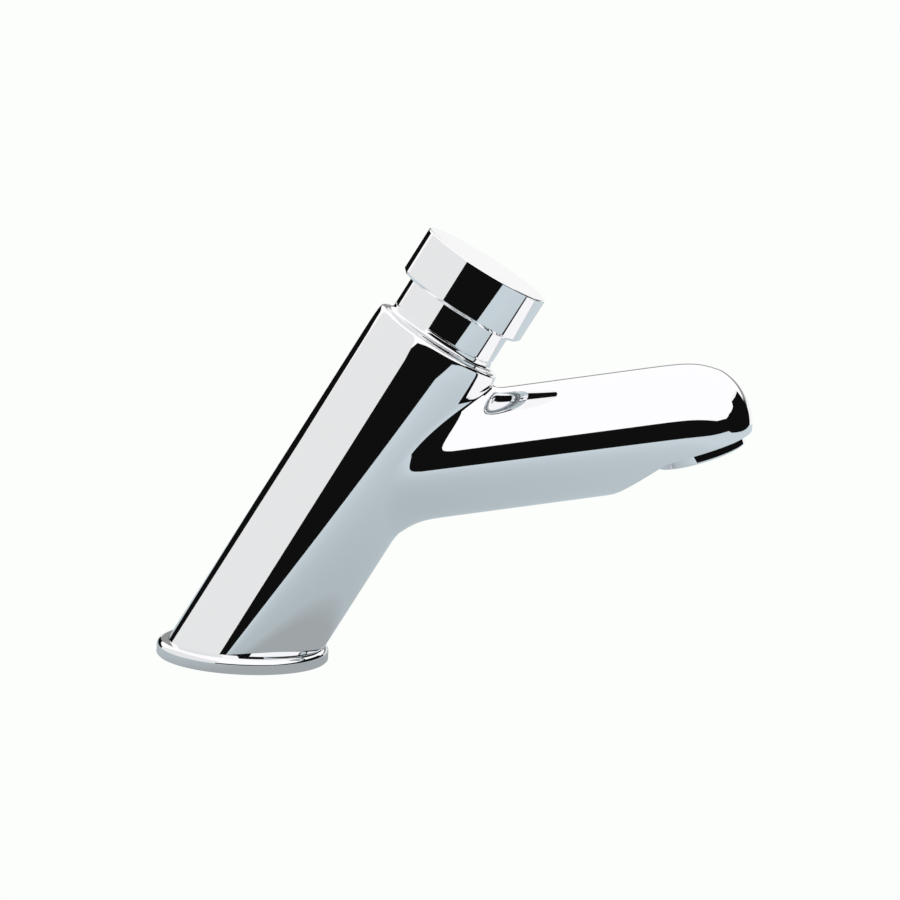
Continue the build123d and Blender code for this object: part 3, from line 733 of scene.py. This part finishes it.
collar_outline += [(spring_pocket, neck_top), (spring_pocket, pocket_floor)]
collar_outline += [(guide_flange, pocket_floor), (guide_flange, guide_flange_floor)]
collar_outline += [(guide_hole, guide_flange_floor), (guide_hole, guide_end), (stem_hole, guide_end)]
collar_outline += [(stem_hole, collar_low), (collar_radius, collar_low)]
collar_outline += [(collar_radius, collar_groove_low), (collar_groove_radius, collar_groove_low)]
collar_outline += [(collar_groove_radius, collar_groove_high), (collar_radius, collar_groove_high)]
collar_outline += [(collar_radius, rim_height), (neck_foot_radius, rim_height)]
collar_outline += [(neck_foot_radius, rim_height + neck_foot)]
neck_settings = {"ease": 0.06, "steps": columns}
turned_piece("neck", "head_collar", collar_outline, chrome, "chrome", body_place, **neck_settings)

# Return spring: round stainless wire wound on a mandrel, with its last turn at each end wound close. It
# stands in the collar's pocket and pushes up the cap's liner, and shortens as the button goes down.
wire_radius = 0.7 * mm
wire_sides = 14
coil_steps = 56
spring_radius = 9 * mm
spring_foot = 107.8 * mm
spring_top = 130.7 * mm
close_pitch = 2.08 * wire_radius
close_turns = 1
open_turns = 5.5
spring_height = spring_top - spring_foot
open_rise = spring_height - 2 * wire_radius - 2 * close_turns * close_pitch
wire = bmesh.new()
bmesh.ops.create_circle(wire, segments=wire_sides, radius=wire_radius)
wire_start = Matrix.Translation((spring_radius, 0, spring_foot + wire_radius))
wire.transform(wire_start @ Matrix.Rotation(pi / 2, 4, "X"))
wound = wire.verts[:] + wire.edges[:]
windings = [(close_turns, close_turns * close_pitch), (open_turns, open_rise)]
windings.append((close_turns, close_turns * close_pitch))
for turns, rise in windings:
    steps = round(turns * coil_steps)
    axis = {"cent": (0, 0, 0), "axis": (0, 0, 1), "dvec": (0, 0, rise / steps)}
    done = bmesh.ops.spin(wire, geom=wound, steps=steps, angle=2 * pi * turns, **axis)
    wound = done["geom_last"]
bmesh.ops.holes_fill(wire, edges=[edge for edge in wire.edges if edge.is_boundary])
spring = piece_of(wire, "coil_spring", steel, nodes=["return_spring"], place=body_place)
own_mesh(spring)

# Cap: a turned and chromed brass cup that is screwed on the stem by a boss under its roof. Its rim hangs
# over the neck.
cap_radius = 20.0
cap_low = 120.7
cap_high = 135.3
cap_rounding = 0.5
cap_chamfer = 0.9
cap_steps = 8
cap_inside = 17.8
roof_low = 132.7
boss_radius = 5
boss_low = 128.9
boss_hole = 2.55
boss_hole_top = 133.7
cap_outline = [(0, boss_hole_top), (boss_hole, boss_hole_top), (boss_hole, boss_low)]
cap_outline += [(boss_radius, boss_low), (boss_radius, roof_low), (cap_inside, roof_low)]
cap_outline += [(cap_inside, cap_low), (cap_radius - cap_chamfer, cap_low)]
cap_outline += [(cap_radius, cap_low + cap_chamfer)]
cap_shoulder = (cap_radius - cap_rounding, cap_high - cap_rounding)
cap_outline += arc(*cap_shoulder, cap_rounding, 0, pi / 2, cap_steps)
cap_outline += [(0, cap_high)]
cap_settings = {"body": "button", "ease": 0.1, "steps": columns}
turned_piece("button_cap", "push_cap", cap_outline, chrome, "chrome", body_place, **cap_settings)

# Outlet: a chromed ring screwed up into the spout holds a moulded honeycomb that gives the water its
# even stream, with a fine steel screen and a flow regulator above it.
ring_bore = 10.2
ring_thread_radius = 11.92
ring_top = -6.5
ring_radius = 13.6
ring_low = 3
ring_chamfer = 0.4
ring_lip_radius = 9.2
ring_lip_top = 2
ring_outline = [(ring_bore, ring_top), (ring_thread_radius, ring_top), (ring_thread_radius, 0)]
ring_outline += [(ring_radius, 0), (ring_radius, ring_low - ring_chamfer)]
ring_outline += [(ring_radius - ring_chamfer, ring_low), (ring_lip_radius, ring_low)]
ring_outline += [(ring_lip_radius, ring_lip_top), (ring_bore, ring_lip_top)]
turned_piece("outlet_ring", "aerator_housing", ring_outline, chrome, "chrome", outlet_place, ease=0.15)
comb_radius = 10.15 * mm
comb_columns = 128
cell_pitch = 2.75 * mm
cell_radius = 1.24 * mm
cell_rings = 3
cell_depth = 9 * mm
comb_low = -2.4 * mm
comb_high = 2 * mm
comb_outline = [(0, comb_low), (comb_radius, comb_low), (comb_radius, comb_high), (0, comb_high)]
comb = turned(comb_outline, comb_columns)
honeycomb = piece_of(comb, "honeycomb", acetal, nodes=["aerator_insert"], place=outlet_place)
cells = bmesh.new()
for across_x in range(-cell_rings, cell_rings + 1):
    for across_y in range(-cell_rings, cell_rings + 1):
        if abs(across_x + across_y) > cell_rings:
            continue
        middle = Vector((across_x + across_y / 2, across_y * sqrt(3) / 2, 0)) * cell_pitch
        middle.z = (comb_low + comb_high) / 2
        turn = Matrix.Translation(middle) @ Matrix.Rotation(pi / 6, 4, "Z")
        cone = {"segments": 6, "radius1": cell_radius, "radius2": cell_radius, "depth": cell_depth}
        bmesh.ops.create_cone(cells, cap_ends=True, matrix=turn, **cone)
cells.transform(outlet_place)
cut(honeycomb, cells)
honeycomb.data.set_sharp_from_angle(angle=sharp_from)

# Studio: a white tent with a light blue table top below it, and a dark opening round the front and right
# of the tent, through which the camera looks in. The floor that the camera sees is plain pale paper.
paper_white = (0.975, 0.991, 0.968)
floor_height = -0.1 * mm
tent_far = 3.0
tent_edge = 0.92
tent_side = -1.96
tent_top = 4.0
tent_foot = -1.1
backdrop_left = -0.64
backdrop_right = 2.5
backdrop_foot = -0.4
backdrop_top = 0.35
dark_far = 6.0
dark_half = 3.5
# Painted light on the table top: its lit blue, the painted dimming round the tap and the painted shadow
# at the flange.
table_painted_light = (0.60, 0.68, 0.72)
painted_dim_blue = (0.45, 0.51, 0.54)
table_shadow = (0.37, 0.40, 0.41)
shadow_middle = (-0.014, 0.012, 0)
shadow_edge = (0.027, 0.044)
painted_dim_edge = (0.05, 0.24)


def glow(name, colour):
    """A surface that only gives light, the same all over."""
    light = Finish(name, Base_Color=(0, 0, 0, 1), Specular_IOR_Level=0.0, Emission_Strength=1.0)
    light.shader.inputs["Emission Color"].default_value = (*colour, 1)
    return light


def card(name, light, corners, seen=False):
    """A flat panel of the studio. Unless it is seen, only reflections show it."""
    panel = bmesh.new()
    panel.faces.new([panel.verts.new(corner) for corner in corners])
    mesh = bpy.data.meshes.new(name)
    panel.to_mesh(mesh)
    panel.free()
    mesh.materials.append(light.material)
    stand = bpy.data.objects.new(name, mesh)
    bpy.context.scene.collection.objects.link(stand)
    stand.visible_camera = seen
    stand.visible_glossy = not seen
    stand.visible_diffuse = not seen
    stand.visible_shadow = False


def level_card(name, light, first, last, height, seen=False):
    """A level panel between two opposite corners."""
    corners = [(first[0], first[1]), (last[0], first[1]), (last[0], last[1]), (first[0], last[1])]
    card(name, light, [(*corner, height) for corner in corners], seen)


def wall_card(name, light, first, last, low, high):
    """An upright panel over a line on the ground."""
    card(name, light, [(*first, low), (*last, low), (*last, high), (*first, high)])


white = glow("tent_white", (1.06, 1.05, 1.06))
grey = glow("tent_grey", (0.84, 0.84, 0.84))
dark = glow("opening_dark", (0.005, 0.005, 0.005))
dim = glow("tent_dim", (0.30, 0.30, 0.30))
paper = glow("backdrop_paper", (0.955, 0.96, 0.95))

# The table top glows with its lit blue painted in, and with painted shade: a painted shadow of the tap,
# darkest close to the flange, and painted dimming out to about a quarter metre round the tap.
table = glow("table_painted_light", table_painted_light)
sockets = {"Vector": table.place, "Location": shadow_middle}
shadow_place = table.add("ShaderNodeMapping", sockets=sockets)
apart = table.add("ShaderNodeVectorMath", {"operation": "LENGTH"}, {0: shadow_place}, output=1)
sockets = {"Value": apart, "From Min": shadow_edge[0], "From Max": shadow_edge[1]}
near_share = table.add("ShaderNodeMapRange", sockets=sockets)
sockets = {"Value": apart, "From Min": painted_dim_edge[0], "From Max": painted_dim_edge[1]}
unshaded_share = table.add("ShaderNodeMapRange", sockets=sockets)
painted_lit_blue = table.mixed(unshaded_share, painted_dim_blue, table_painted_light)
mixing = {0: near_share, 6: (*table_shadow, 1), 7: painted_lit_blue}
table.feed("Emission Color", table.add("ShaderNodeMix", {"data_type": "RGBA"}, mixing, output=2))

near_left, near_right = (-tent_far, -tent_far), (tent_far, -tent_far)
far_left, far_right = (-tent_far, tent_far), (tent_far, tent_far)
level_card("floor", glow("floor_paper", paper_white), near_left, far_right, floor_height, seen=True)
level_card("ceiling", white, near_left, far_right, tent_top)
wall_card("front_over", white, (tent_side, -tent_far), near_right, tent_edge, tent_top)
wall_card("back_over", white, far_left, far_right, tent_edge, tent_top)
backdrop_ends = (backdrop_left, tent_far), (backdrop_right, tent_far)
wall_card("backdrop", paper, *backdrop_ends, backdrop_foot, backdrop_top)
wall_card("backdrop_over", dim, *backdrop_ends, backdrop_top, tent_edge)
wall_card("left", grey, near_left, far_left, tent_foot, tent_top)
wall_card("front_left", grey, near_left, (tent_side, -tent_far), tent_foot, tent_top)
right_edge = [(-tent_far, tent_edge), (-1.8, 0.94), (-1.0, 0.99), (-0.3, 1.12)]
right_edge += [(0.2, 1.35), (0.6, 2.0), (tent_far, 2.0)]
right_corners = [(tent_far, along, height) for along, height in right_edge]
card("right_over", white, right_corners + [(*far_right, tent_top), (*near_right, tent_top)])
level_card("table", table, (-0.7, -0.26), (0.6, 0.5), 0)
dark_left, dark_right = (-dark_far, -dark_far), (dark_far, -dark_far)
wall_card("dark_front", dark, dark_left, dark_right, -dark_half, dark_half)
wall_card("dark_right", dark, dark_right, (dark_far, dark_far), -dark_half, dark_half)
wall_card("dark_back", dark, (-dark_far, dark_far), (dark_far, dark_far), -dark_half, dark_half)
level_card("dark_below", dark, dark_left, (dark_far, dark_far), -dark_half)

world = bpy.data.worlds.new("studio")
world.use_nodes = True
world.node_tree.nodes["Background"].inputs["Color"].default_value = (*paper_white, 1)
bpy.context.scene.world = world

# Camera: it stands in front of the tap's side and a little above it, with a long lens and a slight roll,
# and looks near the middle of what shows above the floor.
camera_distance = 1.3
camera_height = radians(9.9)
camera_roll = radians(3.2)
aim = Vector((0.0582, 0, 0.0655))
eye = bpy.data.objects.new("camera", bpy.data.cameras.new("camera"))
eye.data.sensor_width = 36
eye.data.lens = 176.6
back = Vector((0, -cos(camera_height), sin(camera_height)))
turn = (-back).to_track_quat("-Z", "Y").to_matrix().to_4x4() @ Matrix.Rotation(camera_roll, 4, "Z")
eye.matrix_world = Matrix.Translation(aim + back * camera_distance) @ turn
bpy.context.scene.collection.objects.link(eye)
bpy.context.scene.camera = eye
bpy.context.scene.view_settings.view_transform = "Standard"
